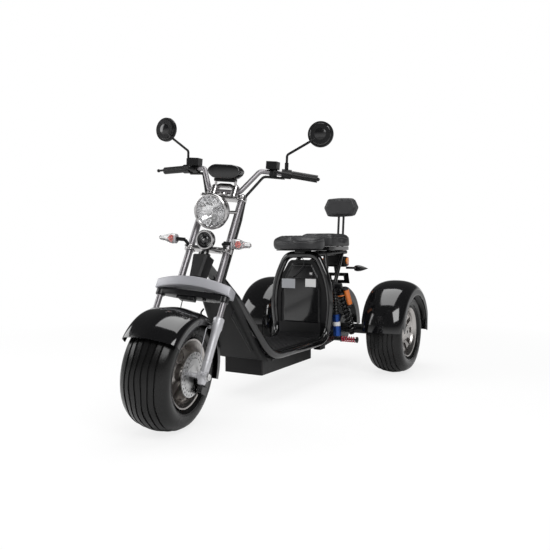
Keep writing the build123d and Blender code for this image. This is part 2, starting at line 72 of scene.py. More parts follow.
# ---- places -------------------------------------------------------------------------------
def at(x, y, z):
    """Point beside the middle, behind the front axle and above the ground, in millimetres."""
    return Vector((x * mm, front_axle.y + y * mm, front_axle.z + (z - axle_height) * mm))


fork_axes = Matrix((front_spin, fork_back, steer_axis)).transposed().to_4x4()
fork_frame = Matrix.Translation(front_axle) @ fork_axes
front_turn = (Matrix.Translation(front_axle) @ Matrix.Rotation(rest_turn, 4, steer_axis)
              @ Matrix.Translation(-front_axle))


def fork_point(x, back, up):
    """Point of the turned fork: beside its middle, behind its axis and along it, in millimetres."""
    return fork_frame @ (Vector((x, back, up)) * mm)


def on_fork(x, back, up, level=False):
    """Frame at a point of the fork; a level one stands upright."""
    place = fork_frame @ Matrix.Translation(Vector((x, back, up)) * mm)
    return place @ Matrix.Rotation(radians(rake), 4, "X") if level else place


def standing(x, y, z, turn=0.0, axis="X"):
    """Upright frame at a point of the vehicle, turned by degrees about one axis."""
    return Matrix.Translation(at(x, y, z)) @ Matrix.Rotation(radians(turn), 4, axis)


# ---- camera, floor and light --------------------------------------------------------------
def place_camera():
    """Camera low at the left front, looking slightly down."""
    tilt_down, heading = 2.86, 29.44
    data = bpy.data.cameras.new("camera")
    data.sensor_width = 36
    data.lens = 40.95
    camera = bpy.data.objects.new("camera", data)
    camera.location = (1.5689, front_axle.y - 1.9326, 0.7371)
    camera.rotation_euler = (radians(90 - tilt_down), 0, radians(heading))
    bpy.context.scene.collection.objects.link(camera)
    bpy.context.scene.camera = camera


def soft_lamp(name, place, target, width, height, watts):
    """Rectangular lamp that faces its target."""
    data = bpy.data.lights.new(name, "AREA")
    data.shape = "RECTANGLE"
    data.size = width
    data.size_y = height
    data.energy = watts
    lamp = bpy.data.objects.new(name, data)
    lamp.location = place
    lamp.rotation_euler = (Vector(target) - Vector(place)).to_track_quat("-Z", "Y").to_euler()
    bpy.context.scene.collection.objects.link(lamp)


def studio_world():
    """White where the camera, gloss and glass look at the backdrop, plain grey light elsewhere."""
    world = bpy.data.worlds.new("studio")
    bpy.context.scene.world = world
    world.use_nodes = True
    nodes, links = world.node_tree.nodes, world.node_tree.links
    nodes.clear()
    path = nodes.new("ShaderNodeLightPath")
    seen = nodes.new("ShaderNodeMath")
    seen.operation = "MAXIMUM"
    links.new(path.outputs["Is Glossy Ray"], seen.inputs[0])
    links.new(path.outputs["Is Transmission Ray"], seen.inputs[1])
    direction = nodes.new("ShaderNodeTexCoord")
    split = nodes.new("ShaderNodeSeparateXYZ")
    links.new(direction.outputs["Generated"], split.inputs[0])
    height = nodes.new("ShaderNodeMapRange")
    height.inputs["From Min"].default_value = 0.02
    height.inputs["From Max"].default_value = 0.26
    height.inputs["To Min"].default_value = 0.9
    height.inputs["To Max"].default_value = 0.07
    links.new(split.outputs["Z"], height.inputs["Value"])
    backdrop = nodes.new("ShaderNodeBackground")
    links.new(height.outputs[0], backdrop.inputs["Strength"])
    white = nodes.new("ShaderNodeBackground")
    ambient = nodes.new("ShaderNodeBackground")
    ambient.inputs["Strength"].default_value = 0.4
    reflected = nodes.new("ShaderNodeMixShader")
    links.new(seen.outputs[0], reflected.inputs[0])
    links.new(ambient.outputs[0], reflected.inputs[1])
    links.new(backdrop.outputs[0], reflected.inputs[2])
    shown = nodes.new("ShaderNodeMixShader")
    links.new(path.outputs["Is Camera Ray"], shown.inputs[0])
    links.new(reflected.outputs[0], shown.inputs[1])
    links.new(white.outputs[0], shown.inputs[2])
    for light in (backdrop, white, ambient):
        light.inputs["Color"].default_value = (1, 1, 1, 1)
    output = nodes.new("ShaderNodeOutputWorld")
    links.new(shown.outputs[0], output.inputs[0])


def pale_floor():
    """Round white floor: it keeps a soft shadow near the wheels and fades to white far out."""
    shape = bmesh.new()
    bmesh.ops.create_circle(shape, cap_ends=True, radius=9.0, segments=96)
    floor = new_object("floor", shape)
    material = bpy.data.materials.new("floor")
    material.use_nodes = True
    nodes, links = material.node_tree.nodes, material.node_tree.links
    nodes.clear()
    lit = nodes.new("ShaderNodeBsdfDiffuse")
    lit.inputs["Color"].default_value = (0.9, 0.9, 0.9, 1)
    bright = nodes.new("ShaderNodeEmission")
    bright.inputs["Color"].default_value = (1, 1, 1, 1)
    place = nodes.new("ShaderNodeTexCoord")
    distance = nodes.new("ShaderNodeVectorMath")
    distance.operation = "LENGTH"
    links.new(place.outputs["Object"], distance.inputs[0])
    fade = nodes.new("ShaderNodeMapRange")
    fade.inputs["From Min"].default_value = 1.2
    fade.inputs["From Max"].default_value = 3.2
    fade.inputs["To Min"].default_value = 0.8
    fade.inputs["To Max"].default_value = 1.0
    links.new(distance.outputs["Value"], fade.inputs["Value"])
    path = nodes.new("ShaderNodeLightPath")
    share = nodes.new("ShaderNodeMath")
    share.operation = "MULTIPLY"
    links.new(path.outputs["Is Camera Ray"], share.inputs[0])
    links.new(fade.outputs[0], share.inputs[1])
    mix = nodes.new("ShaderNodeMixShader")
    links.new(share.outputs[0], mix.inputs[0])
    links.new(lit.outputs[0], mix.inputs[1])
    links.new(bright.outputs[0], mix.inputs[2])
    output = nodes.new("ShaderNodeOutputMaterial")
    links.new(mix.outputs[0], output.inputs[0])
    floor.data.materials.append(material)


# ---- shapes -------------------------------------------------------------------------------
def new_object(name, shape):
    """Turn a bmesh into an object of that name."""
    mesh = bpy.data.meshes.new(name)
    shape.to_mesh(mesh)
    shape.free()
    piece = bpy.data.objects.new(name, mesh)
    bpy.context.scene.collection.objects.link(piece)
    return piece


def spun(profile, axis="X", steps=96):
    """Solid turned about an axis from (along, radius) points; ends on the axis close it."""
    along = Vector([float(a == axis) for a in "XYZ"])
    out = Vector((0, 0, 1)) if axis != "Z" else Vector((1, 0, 0))
    shape = bmesh.new()
    verts = [shape.verts.new(along * a + out * r) for a, r in profile]
    closed = profile[0][1] > 0
    edges = [shape.edges.new(pair) for pair in zip(verts, verts[1:])]
    if closed:
        edges.append(shape.edges.new((verts[-1], verts[0])))
    bmesh.ops.spin(shape, geom=verts + edges, cent=(0, 0, 0), axis=along, angle=2 * pi,
                   steps=steps, use_merge=True)
    bmesh.ops.remove_doubles(shape, verts=shape.verts, dist=0.001)
    bmesh.ops.recalc_face_normals(shape, faces=shape.faces)
    return shape


def disc(radius, length, axis="X", edge=1.0, steps=48):
    """Round block centred on its axis, with eased edges."""
    h = length / 2
    profile = [(-h, 0), (-h, radius - edge), (edge - h, radius),
               (h - edge, radius), (h, radius - edge), (h, 0)]
    return spun(profile, axis, steps)


def slab(outline, depth, bevel=0.0, axis="Y", segments=3):
    """Plate from an outline, centred along its axis; the outline lies in the other two."""
    shape = bmesh.new()
    h = depth / 2
    spot = {"X": lambda a, b: (-h, a, b), "Y": lambda a, b: (a, -h, b), "Z": lambda a, b: (a, b, -h)}[axis]
    face = shape.faces.new([shape.verts.new(spot(a, b)) for a, b in outline])
    grown = bmesh.ops.extrude_face_region(shape, geom=[face])["geom"]
    step = Vector([depth * (a == axis) for a in "XYZ"])
    bmesh.ops.translate(shape, vec=step, verts=[v for v in grown if isinstance(v, bmesh.types.BMVert)])
    bmesh.ops.recalc_face_normals(shape, faces=shape.faces)
    if bevel:
        bmesh.ops.bevel(shape, geom=shape.edges[:], offset=bevel, offset_type="OFFSET", segments=segments,
                        profile=0.5, affect="EDGES", material=-1, clamp_overlap=True)
    return shape


def box(width, depth, height, bevel=1.5):
    """Block centred on its middle, with rounded edges."""
    w, d = width / 2, depth / 2
    return slab([(-w, -d), (w, -d), (w, d), (-w, d)], height, bevel, "Z")


def hexagon(radius, length, axis="Z"):
    """Hexagonal nut or bolt head."""
    points = [(radius * cos(pi / 3 * i), radius * sin(pi / 3 * i)) for i in range(6)]
    return slab(points, length, 0.8, axis, 1)


def moved(shape, x=0.0, y=0.0, z=0.0, turn=0.0, axis="X"):
    """The same shape, turned by degrees and then moved."""
    place = Matrix.Translation((x, y, z)) @ Matrix.Rotation(radians(turn), 4, axis)
    bmesh.ops.transform(shape, matrix=place, verts=shape.verts)
    return shape


def joined(*shapes):
    """One mesh from several shapes."""
    whole = bmesh.new()
    for shape in shapes:
        mesh = bpy.data.meshes.new("loose")
        shape.to_mesh(mesh)
        shape.free()
        whole.from_mesh(mesh)
        bpy.data.meshes.remove(mesh)
    return whole


def rounded_path(points, bend):
    """Centre line through the points with rounded corners, in metres."""
    bends = bend if isinstance(bend, (list, tuple)) else [bend] * (len(points) - 2)
    line = [points[0]]
    for before, corner, after, radius in zip(points, points[1:], points[2:], bends):
        into, out = (corner - before).normalized(), (after - corner).normalized()
        turn = into.angle(out, 0.0)
        room = min((corner - before).length * 0.49, (after - corner).length * 0.49)
        reach = min(radius * mm * tan(turn / 2), room)
        start, end = corner - into * reach, corner + out * reach
        steps = max(2, ceil(turn / radians(6)))
        for i in range(steps + 1):
            t = i / steps
            line.append(start * (1 - t) ** 2 + corner * 2 * t * (1 - t) + end * t ** 2)
    line.append(points[-1])
    return [p for i, p in enumerate(line) if i == 0 or (p - line[i - 1]).length > 1e-6]


def bar(points, radius, bend=20.0, sides=24, ring=0.0):
    """Round bar through points given in metres; `ring` is the pitch of a corrugated sleeve."""
    line = rounded_path(list(points), bend)
    if ring:
        fine = [line[0]]
        for start, end in zip(line, line[1:]):
            count = max(1, round((end - start).length / (ring * mm / 4)))
            fine += [start.lerp(end, i / count) for i in range(1, count + 1)]
        line = fine
    shape = bmesh.new()
    tangent = (line[1] - line[0]).normalized()
    normal = tangent.orthogonal().normalized()
    loops, travelled = [], 0.0
    for i, point in enumerate(line):
        new_tangent = (line[min(i + 1, len(line) - 1)] - line[max(i - 1, 0)]).normalized()
        normal = tangent.rotation_difference(new_tangent) @ normal
        tangent = new_tangent
        travelled += (point - line[i - 1]).length if i else 0.0
        size = radius * mm * (1 + 0.13 * sin(2 * pi * travelled / (ring * mm)) if ring else 1)
        side = tangent.cross(normal)
        loops.append([shape.verts.new(point + (normal * cos(a) + side * sin(a)) * size)
                      for a in (2 * pi * k / sides for k in range(sides))])
    for low, high in zip(loops, loops[1:]):
        for k in range(sides):
            shape.faces.new((low[k], low[(k + 1) % sides], high[(k + 1) % sides], high[k]))
    shape.faces.new(loops[0][::-1])
    shape.faces.new(loops[-1])
    bmesh.ops.recalc_face_normals(shape, faces=shape.faces)
    return shape


def coil(start, end, radius, wire, turns):
    """Spring between two points."""
    along = end - start
    side = along.orthogonal().normalized()
    other = along.normalized().cross(side)
    count = int(turns * 20)
    points = [start + along * (i / count) + (side * cos(2 * pi * turns * i / count)
              + other * sin(2 * pi * turns * i / count)) * radius * mm for i in range(count + 1)]
    return bar(points, wire, 0.0, 10)


def add(name, shape, material, body, place=None, sharp=35.0):
    """Finish a piece: place it, shade it smooth between sharp edges, and let it ride its body."""
    if place is not None:
        bmesh.ops.transform(shape, matrix=place @ Matrix.Scale(mm, 4), verts=shape.verts)
        bmesh.ops.recalc_face_normals(shape, faces=shape.faces)
    piece = new_object(name, shape)
    piece.data.shade_smooth()
    piece.data.set_sharp_from_angle(angle=radians(sharp))
    piece.data.materials.append(finishes[material])
    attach(piece, body)
    return piece


# ---- finishes -----------------------------------------------------------------------------
def finish(name, colour, roughness, metallic=0.0, coat=0.0, patches=9.0, spread=0.08,
           grain=0.0, grain_scale=900.0, shade=0.12, specular=0.5):
    """Painted, cast or moulded surface: uneven gloss, a little uneven colour and a fine grain."""
    material = bpy.data.materials.new(name)
    material.use_nodes = True
    nodes, links = material.node_tree.nodes, material.node_tree.links
    shader = nodes["Principled BSDF"]
    shader.inputs["Metallic"].default_value = metallic
    shader.inputs["Specular IOR Level"].default_value = specular
    shader.inputs["Coat Weight"].default_value = coat
    shader.inputs["Coat Roughness"].default_value = 0.04
    place = nodes.new("ShaderNodeTexCoord")
    cloud = nodes.new("ShaderNodeTexNoise")
    cloud.inputs["Scale"].default_value = patches
    cloud.inputs["Detail"].default_value = 5
    links.new(place.outputs["Object"], cloud.inputs["Vector"])
    gloss = nodes.new("ShaderNodeMapRange")
    gloss.inputs["From Min"].default_value = 0.3
    gloss.inputs["From Max"].default_value = 0.7
    gloss.inputs["To Min"].default_value = max(roughness - spread, 0.02)
    gloss.inputs["To Max"].default_value = roughness + spread
    links.new(cloud.outputs["Fac"], gloss.inputs["Value"])
    links.new(gloss.outputs[0], shader.inputs["Roughness"])
    tone = nodes.new("ShaderNodeMix")
    tone.data_type = "RGBA"
    tone.inputs["A"].default_value = (*[c * (1 - shade) for c in colour], 1)
    tone.inputs["B"].default_value = (*[c * (1 + shade) for c in colour], 1)
    links.new(cloud.outputs["Fac"], tone.inputs["Factor"])
    links.new(tone.outputs["Result"], shader.inputs["Base Color"])
    if grain:
        fine = nodes.new("ShaderNodeTexNoise")
        fine.inputs["Scale"].default_value = grain_scale
        fine.inputs["Detail"].default_value = 3
        links.new(place.outputs["Object"], fine.inputs["Vector"])
        bump = nodes.new("ShaderNodeBump")
        bump.inputs["Strength"].default_value = grain
        bump.inputs["Distance"].default_value = 0.0006
        links.new(fine.outputs["Fac"], bump.inputs["Height"])
        links.new(bump.outputs[0], shader.inputs["Normal"])
    return material


def lens(name, colour, roughness=0.04, transmission=0.9):
    """Clear moulded plastic."""
    material = bpy.data.materials.new(name)
    material.use_nodes = True
    shader = material.node_tree.nodes["Principled BSDF"]
    shader.inputs["Base Color"].default_value = (*colour, 1)
    shader.inputs["Roughness"].default_value = roughness
    shader.inputs["Transmission Weight"].default_value = transmission
    shader.inputs["IOR"].default_value = 1.45
    return material


finishes = {
    "gloss_black": finish("gloss_black", (0.004, 0.004, 0.0045), 0.1, coat=0.5, spread=0.03),
    "frame_black": finish("frame_black", (0.006, 0.006, 0.0065), 0.3, grain=0.1, specular=0.4),
    "body_plastic": finish("body_plastic", (0.007, 0.007, 0.0075), 0.36, grain=0.2, specular=0.22),
    "mat_rubber": finish("mat_rubber", (0.016, 0.016, 0.017), 0.5, grain=0.3, specular=0.35),
    "vinyl": finish("vinyl", (0.022, 0.022, 0.0235), 0.42, grain=0.35, specular=0.45),
    "piping": finish("piping", (0.05, 0.05, 0.052), 0.35),
    "silver_paint": finish("silver_paint", (0.36, 0.36, 0.385), 0.4, metallic=0.25, spread=0.05),
    "bright_alloy": finish("bright_alloy", (0.5, 0.5, 0.52), 0.42, metallic=0.55, spread=0.05),
    "grey_chrome": finish("grey_chrome", (0.23, 0.22, 0.23), 0.36, metallic=0.75, spread=0.05),
    "chrome": finish("chrome", (0.5, 0.49, 0.49), 0.2, metallic=1.0, spread=0.04),
    "rim_chrome": finish("rim_chrome", (0.46, 0.44, 0.425), 0.3, metallic=1.0, spread=0.06),
    "tyre": finish("tyre", (0.006, 0.006, 0.006), 0.26, grain=0.2, grain_scale=500,
                   spread=0.08, specular=0.28),
    "steel": finish("steel", (0.5, 0.5, 0.5), 0.3, metallic=1.0),
    "dark_steel": finish("dark_steel", (0.008, 0.008, 0.009), 0.32, metallic=0.2, grain=0.2),
    "spring_black": finish("spring_black", (0.008, 0.008, 0.008), 0.2, coat=0.3),
    "orange_paint": finish("orange_paint", (0.68, 0.17, 0.025), 0.3, coat=0.3),
    "blue_anodised": finish("blue_anodised", (0.015, 0.06, 0.27), 0.28, metallic=0.7),
    "red_paint": finish("red_paint", (0.45, 0.015, 0.045), 0.25, coat=0.5),
    "orange_lens": finish("orange_lens", (0.75, 0.22, 0.02), 0.15, coat=0.6),
    "red_lens": finish("red_lens", (0.36, 0.012, 0.018), 0.12, coat=0.6),
    "clear_lens": lens("clear_lens", (0.97, 0.97, 0.97)),
    "grip_rubber": finish("grip_rubber", (0.007, 0.007, 0.007), 0.45, grain=0.3, specular=0.35),
    "mirror_face": finish("mirror_face", (0.7, 0.71, 0.73), 0.03, metallic=1.0, spread=0.01),
    "gloss_plastic": finish("gloss_plastic", (0.006, 0.006, 0.0065), 0.14, coat=0.4, spread=0.04),
    "reflector": finish("reflector", (0.85, 0.85, 0.86), 0.1, metallic=1.0, spread=0.03),
    "bulb_red": finish("bulb_red", (0.62, 0.05, 0.03), 0.2, coat=0.5),
    "label_grey": finish("label_grey", (0.33, 0.34, 0.36), 0.4, shade=0.06),
    "label_white": finish("label_white", (0.62, 0.62, 0.62), 0.4, shade=0.05),
    "screen": finish("screen", (0.01, 0.012, 0.014), 0.06, coat=0.8, spread=0.02),
}


def dress_cad_nodes():
    """Give every solid the finish of its slot in the record."""
    for part in record["subparts"]:
        node = frame["nodes"][part["node"]]
        node.data.materials.clear()
        node.data.materials.append(finishes[part["material_slot"]])


# ---- wheels -------------------------------------------------------------------------------
def tread_radius(x):
    """Radius of the crowned tread at a distance from the tyre's middle."""
    crown_curve = 176.0
    return tyre_radius - x * x / (2 * crown_curve)


def tyre(name, place, body, node):
    """Fat tyre: rounded crown with six wavy grooves, glossy walls and a rim guard line."""
    half = [(0.0, tread_radius(0))]
    for groove in (13, 38, 62):
        r = tread_radius(groove)
        half += [(groove - 4, r + 0.3), (groove - 2.8, r - 4.5),
                 (groove + 2.8, r - 4.7), (groove + 4, r - 0.6)]
    half += [(74, tread_radius(74)), (84, 213.5), (92, 207), (98, 198), (101.2, 187), (101.8, 176),
             (99.5, 164), (96.5, 158), (96.8, 155.5), (93.5, 154.5), (87, 147), (79, 141.5)]
    outer = [(-x, r) for x, r in reversed(half[1:])] + half
    inner = [(70, 141.5), (86, 156), (88, 182), (72, 205), (0, 217),
             (-72, 205), (-88, 182), (-86, 156), (-70, 141.5)]
    shape = spun(outer + inner, "X", 192)
    sway, waves = 2.6, 9
    for v in shape.verts:
        r = hypot(v.co.y, v.co.z)
        if r > 205 and abs(v.co.x) < 70:
            turn = Vector((v.co.y, v.co.z)).angle_signed(Vector((0, 1)), 0.0)
            v.co.x += sway * sin(waves * turn + v.co.x * 0.03) * (1 - (v.co.x / 78) ** 2)
    piece = add(name, shape, "tyre", body, place, 28)
    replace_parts(piece, node)


def front_wheel():
    """Spun cone rim with a bright lip and the hub, inside the tyre."""
    barrel = [(86, 139), (84, 133), (72, 123), (48, 112), (-48, 112), (-72, 123), (-84, 133), (-86, 139),
              (-81, 139), (-79, 130), (-68, 130), (-46, 117), (46, 117), (68, 130), (79, 130), (81, 139)]
    face = [(2, 116), (8, 104), (14, 78), (24, 50), (40, 36), (60, 34), (60, 10), (-66, 10), (-66, 28),
            (15, 34), (6, 70), (0, 100), (-6, 116)]
    bolt_circle = 24
    nuts = [moved(disc(4.5, 8, "X"), 60, bolt_circle * cos(a), bolt_circle * sin(a))
            for a in (2 * pi * i / 5 for i in range(5))]
    shape = joined(spun(barrel), spun(face), *nuts)
    rim = add("front_rim_spun", shape, "rim_chrome", "front_wheel", fork_frame, 30)
    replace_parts(rim, "front_rim")


# ---- fork ---------------------------------------------------------------------------------
def fork():
    """Polished lower legs with collars, axle clamps, fender lugs and axle nuts."""
    leg = [(-32, 0), (-32, 13), (-25, 17), (60, 17), (60.5, 17.8), (66, 17.8), (66.5, 17), (150, 17),
           (185, 18.5), (197, 22.5), (222, 22.5), (223, 21.6), (226, 21.6), (227, 22.5), (239, 22.5),
           (243, 18.5), (243, 12.6), (243, 0)]
    parts = []
    for side in (-1, 1):
        x = side * leg_x
        parts.append(moved(spun(leg, "Z", 64), x))
        parts.append(moved(disc(18, 39, "X", 2), x))
        parts.append(moved(box(12, 18, 26, 3), x, 19, -6))
        parts.append(moved(disc(6.5, 24, "X"), x - side * 24, 0, 201))
        parts.append(moved(disc(5, 30, "Y"), x, -20, 8))
    parts.append(disc(9, 2 * leg_x + 46, "X"))
    legs = add("fork_legs_cast", joined(*parts), "bright_alloy", "front_end", fork_frame)
    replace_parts(legs, "fork_legs", "front_axle")
    nuts = [moved(hexagon(14, 10, "X"), side * (leg_x + 24)) for side in (-1, 1)]
    nuts += [moved(disc(16, 3, "X"), side * (leg_x + 20)) for side in (-1, 1)]
    add("axle_nuts", joined(*nuts), "steel", "front_end", fork_frame)


def crown():
    """Silver arched cover, bowed in front, over the black forged bridge that holds the legs."""
    shape = bmesh.new()
    rings = []
    for i in range(41):
        t = i / 20 - 1
        x, rise = 171 * t, 17 * (1 - t * t)
        front, low, top = -22 - 30 * (1 - t * t), rise - 22, rise + 20
        corners = ((x, front, low), (x, 37, low), (x, 37, top), (x, front, top))
        rings.append([shape.verts.new(p) for p in corners])
    for low, high in zip(rings, rings[1:]):
        for k in range(4):
            shape.faces.new((low[k], low[(k + 1) % 4], high[(k + 1) % 4], high[k]))
    shape.faces.new(rings[0][::-1])
    shape.faces.new(rings[-1])
    bmesh.ops.recalc_face_normals(shape, faces=shape.faces)
    hard = [e for e in shape.edges if e.calc_face_angle(0) > radians(40)]
    bmesh.ops.bevel(shape, geom=hard, offset=5, segments=4, profile=0.5, affect="EDGES", material=-1)
    cover = add("crown_cover", shape, "silver_paint", "front_end", on_fork(0, 2, crown_height), 50)
    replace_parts(cover, "lower_crown")
    bridge = [(-161, -13), (-161, 17), (-87, 32), (87, 32), (161, 17), (161, -13), (60, -22), (-60, -22)]
    parts = [moved(slab(bridge, 26, 4, "Z"), 0, 0, -28)]
    parts += [moved(hexagon(9, 10), x, -4, -45) for x in (-60, 60)]
    parts += [moved(hexagon(17, 14), 0, 0, -46), moved(box(70, 30, 18, 3), -18, 2, -46)]
    parts += [moved(disc(20, 24, "Z", 2), side * leg_x, 0, -34) for side in (-1, 1)]
    add("crown_bridge", joined(*parts), "dark_steel", "front_end", on_fork(0, 0, crown_height))


def clamp_plate(thickness):
    """Yoke of the upper tubes: web, split bosses and pinch bolts."""
    parts = [moved(box(2 * upper_tube_x, 36, thickness, 4), 0, -4)]
    for side in (-1, 1):
        x = side * upper_tube_x
        parts.append(moved(disc(23, thickness + 6, "Z", 2), x))
        parts.append(moved(box(18, 16, thickness, 2), x, -24))
        parts.append(moved(disc(4, 26, "X"), x, -25))
        parts.append(moved(hexagon(6, 5, "X"), x + side * 12, -25))
    return parts


def clamps_and_tubes():
    """Bright yokes, bar clamp and the grey upper tubes with their end caps."""
    middle = [moved(p, 0, upper_tube_back, middle_clamp_height) for p in clamp_plate(18)]
    upper = [moved(p, 0, upper_tube_back, upper_clamp_height) for p in clamp_plate(16)]
    for side in (-1, 1):
        upper.append(moved(disc(17, 58, "Z", 4), side * 50, 10, upper_clamp_height + 29))
        upper.append(moved(hexagon(7, 8), side * 50, 10, upper_clamp_height + 61))
        x = side * upper_tube_x
        upper.append(moved(disc(13, 10, "Z", 2), x, upper_tube_back, upper_clamp_height + 16))
        upper.append(moved(hexagon(8, 7), x, upper_tube_back, upper_clamp_height + 23))
    brace = [(-50, 0), (-50, 18), (-24, 30), (24, 30), (50, 18), (50, 0), (24, 12), (-24, 12)]
    upper.append(moved(slab(brace, 18, 3, "Y"), 0, 6, bar_height + 6))
    upper.append(moved(disc(20, 14, "Z", 3), 0, 10, upper_clamp_height + 12))
    yokes = add("fork_yokes", joined(*middle, *upper), "chrome", "front_end", fork_frame)
    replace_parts(yokes, "fork_clamps")
    tube_top = 813
    tubes = [bar([fork_point(x, upper_tube_back, up) for up in (crown_height, tube_top)], 15, 0, 40)
             for x in (-upper_tube_x, upper_tube_x)]
    pair = add("upper_tubes", joined(*tubes), "grey_chrome", "front_end")
    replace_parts(pair, "fork_upper_tubes")


# ---- lamps, horn and instruments ----------------------------------------------------------
def headlight():
    """Bezel, faceted reflector and bulb inside the bucket."""
    place = front_turn @ standing(0, 268, 870, 10)
    ring = [(-3, 66), (-7, 69), (-8, 73), (-5, 77), (2, 79), (12, 79), (17, 77), (17, 73), (4, 70), (0, 67)]
    add("headlight_bezel", spun(ring, "Y", 128), "chrome", "front_end", place)
    bowl = [(4, 67), (16, 62), (27, 54), (36, 44), (43, 33), (48, 22), (50, 12), (51, 0), (54, 0),
            (53, 14), (50, 26), (44, 38), (36, 49), (27, 58), (16, 66), (5, 69)]
    shape = spun(bowl, "Y", 120)
    for v in shape.verts:
        r = hypot(v.co.x, v.co.z)
        if 10 < r < 64:
            turn = Vector((v.co.x, v.co.z)).angle_signed(Vector((0, 1)), 0.0)
            v.co.y += 1.6 * sin(12 * turn) * sin(r * 0.32)
    add("headlight_reflector", shape, "reflector", "front_end", place, 12)
    bulb = joined(moved(disc(8, 20, "Y", 6), 0, 38, 0), moved(disc(13, 4, "Y", 1.5), 0, 47, 0))
    add("headlight_bulb", bulb, "bright_alloy", "front_end", place)


def horn():
    """Bright front ring and a ribbed dark dome on the horn."""
    place = front_turn @ standing(0, 240, 749)
    ring = spun([(-15, 33), (-16, 36), (-15, 40), (-11, 42), (-6, 42), (-6, 39), (-12, 34)], "Y")
    add("horn_ring", ring, "chrome", "front_end", place)
    dome = [(-11, 33), (-13, 30), (-11, 26), (-13, 22), (-11, 18),
            (-15, 14), (-17, 8), (-18, 0), (-4, 0), (-4, 33)]
    add("horn_dome", spun(dome, "Y"), "gloss_plastic", "front_end", place)
    add("horn_pin", moved(hexagon(5, 5, "Y"), 0, -20, 0), "chrome", "front_end", place)


def mirror_backs():
    """Domed gloss backs of the mirrors."""
    dome = [(-17, 0), (-16, 12), (-13, 32), (-8, 44), (-3, 52), (3, 56.5), (7, 57), (9, 54), (9, 0)]
    for side in (-1, 1):
        place = front_turn @ standing(side * 385, 516, 1245, side * 7.5, "Z")
        add(f"mirror_back_{side + 1}", spun(dome, "Y", 96), "gloss_plastic", "front_end", place, 60)


def indicator_bulbs():
    """Red bulbs on bright bases inside the clear front indicators."""
    place = front_turn @ Matrix.Translation(at(0, 0, 0))
    for side in (-1, 1):
        bulb = moved(disc(10, 26, "X", 8), side * 156, 226, 742)
        add(f"indicator_bulb_{side + 1}", bulb, "bulb_red", "front_end", place)
        base = moved(disc(20.5, 7, "X", 2), side * 134, 226, 742)
        add(f"indicator_base_{side + 1}", base, "bright_alloy", "front_end", place)


def display():
    """Rounded six-sided instrument pod with a screen, on its plate and posts."""
    outline = [(-80, 4), (-74, 15), (-58, 27), (-40, 31), (40, 31), (58, 27), (74, 15), (80, 4),
               (72, -12), (54, -27), (36, -31), (-36, -31), (-54, -27), (-72, -12)]
    place = on_fork(0, -30, bar_height + 77, True)
    pod = slab(outline, 60, 12, "Y", 6)
    body = add("display_case", pod, "gloss_plastic", "front_end", place, 40)
    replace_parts(body, "display_pod")
    plate_place = on_fork(0, -10, bar_height + 47, True)
    add("display_plate", box(100, 36, 14, 4), "body_plastic", "front_end", plate_place)
    posts = [bar([fork_point(s * 50, 8, bar_height + 22), fork_point(s * 46, -8, bar_height + 46)], 6)
             for s in (-1, 1)]
    add("display_posts", joined(*posts), "chrome", "front_end")
    screen = slab([(-52, -17), (52, -17), (60, 2), (48, 18), (-48, 18), (-60, 2)], 3, 1, "Y")
    behind_pod = Matrix.Translation((0, 0.0305, 0))
    add("display_screen", screen, "screen", "front_end", place @ behind_pod)


def looms():
    """Corrugated looms along the upper tubes, the brake hose, the thin wear lead and the fender lead."""
    for i, side in enumerate((1, -1)):
        points = [front_turn @ at(side * 236, 512, 1044), front_turn @ at(side * 150, 474, 1044),
                  front_turn @ at(side * 96, 412, 948), fork_point(side * 100, 44, upper_clamp_height - 90),
                  fork_point(side * 100, 42, crown_height + 42)]
        add(f"sleeve_{i}", bar(points, 6, 26, 16, ring=6.5), "grip_rubber", "front_end", sharp=80)
    hose = [fork_point(128, 25, crown_height - 30), fork_point(128, 27, 60),
            fork_point(118, 66, 30), fork_point(118, 78, 6)]
    add("brake_hose", bar(hose, 3, 20, 16), "steel", "front_end")
    lead = [fork_point(leg_x - 30, -6, 205), fork_point(leg_x - 34, -20, 190),
            fork_point(leg_x - 34, -14, 120), fork_point(leg_x - 32, 6, 60)]
    add("wear_lead", bar(lead, 2, 20, 12), "bright_alloy", "front_end")
    drop = [fork_point(-38, 0, crown_height - 30), fork_point(-40, 4, 300), fork_point(-38, 6, 258)]
    add("fender_lead", bar(drop, 2, 10, 12), "grip_rubber", "front_end")


# ---- frame and body -----------------------------------------------------------------------
def frame_tubes():
    """Two bent side tubes that meet in the seat hoop, with the head tube and cross tubes."""
    parts = []
    for side in (-1, 1):
        route = [(16, 318, 588), (60, 389, 488), (136, 572, 205), (148, arch_y, 205), (177, arch_y, 400),
                 (156, arch_y, 545), (92, arch_y, 672), (0, arch_y, 672)]
        points = [at(side * x, y, z) for x, y, z in route]
        parts.append(bar(points, 19, [60, 160, 130, 600, 500, 200], 32))
    for y in (612, 1060):
        parts.append(bar([at(-138, y, 201), at(138, y, 201)], 12))
    parts.append(bar([at(0, 222, 656), at(0, 350, 556)], 24, 0, 32))
    head = [fork_point(0, 0, crown_height + 46), fork_point(0, 0, middle_clamp_height - 30)]
    parts.append(bar(head, 26, 0, 40))
    tubes = add("frame_tubes", joined(*parts), "gloss_black", "chassis")
    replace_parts(tubes, "main_frame")


